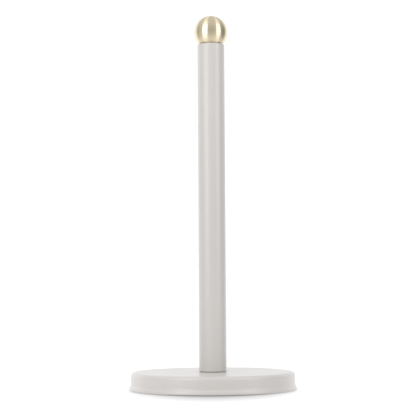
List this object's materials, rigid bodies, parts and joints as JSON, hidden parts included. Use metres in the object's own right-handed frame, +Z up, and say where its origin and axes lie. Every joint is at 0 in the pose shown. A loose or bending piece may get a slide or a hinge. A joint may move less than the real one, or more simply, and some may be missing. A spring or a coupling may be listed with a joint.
{
  "type": "paper towel holder",
  "caption": "Free-standing paper towel holder: weighted round base with a flared hem, one upright pole and a ball knob that unscrews.",
  "frame": {"origin": "on the table, in the middle of the underside, on the pole's axis", "axes": "+Z up along the pole; the stand is round, so +X and +Y are any two level directions, and one plate screw lies towards +Y"},
  "size_m": [0.1524, 0.1524, 0.3438],
  "materials": {
    "grey_paint": "satin powder coat, warm light grey",
    "cast_iron": "sand cast, dull black",
    "zinc_plate": "bright zinc plated sheet",
    "zinc_screw": "bright zinc plated",
    "spring_steel": "oiled spring steel",
    "plug_steel": "turned, faced end",
    "pad_rubber": "fine-celled foam rubber",
    "gasket_rubber": "matte grey",
    "champagne_gold": "turned and fine-brushed, champagne gold",
    "nylon": "natural nylon"
  },
  "bodies": {
    "stand": {"base_cover": "grey_paint", "ballast_weight": "cast_iron", "bottom_plate": "zinc_plate", "plate_screw_1": "zinc_screw", "plate_screw_2": "zinc_screw", "plate_screw_3": "zinc_screw", "non_slip_pad": "pad_rubber", "pole_screw": "zinc_screw", "spring_washer": "spring_steel", "flat_washer": "zinc_screw", "foot_gasket": "gasket_rubber", "pole_tube": "grey_paint", "lower_plug": "plug_steel", "upper_plug": "plug_steel"},
    "knob_seat": {"knob_washer": "nylon"},
    "finial": {"knob": "champagne_gold", "knob_stud": "zinc_screw"}
  },
  "joints": [
    {"name": "knob_rise", "type": "slide", "parent": "stand", "child": "knob_seat", "axis": [0, 0, 1], "range_m": [0, 0.01]},
    {"name": "knob_turn", "type": "hinge", "parent": "knob_seat", "child": "finial", "pos_m": [0, 0, 0.3171], "axis": [0, 0, 1], "range_deg": [0, 3600]}
  ],
  "couplings": [
    {"joint": "knob_turn", "follows": "knob_rise", "rad_per_m": 6283.2}
  ]
}
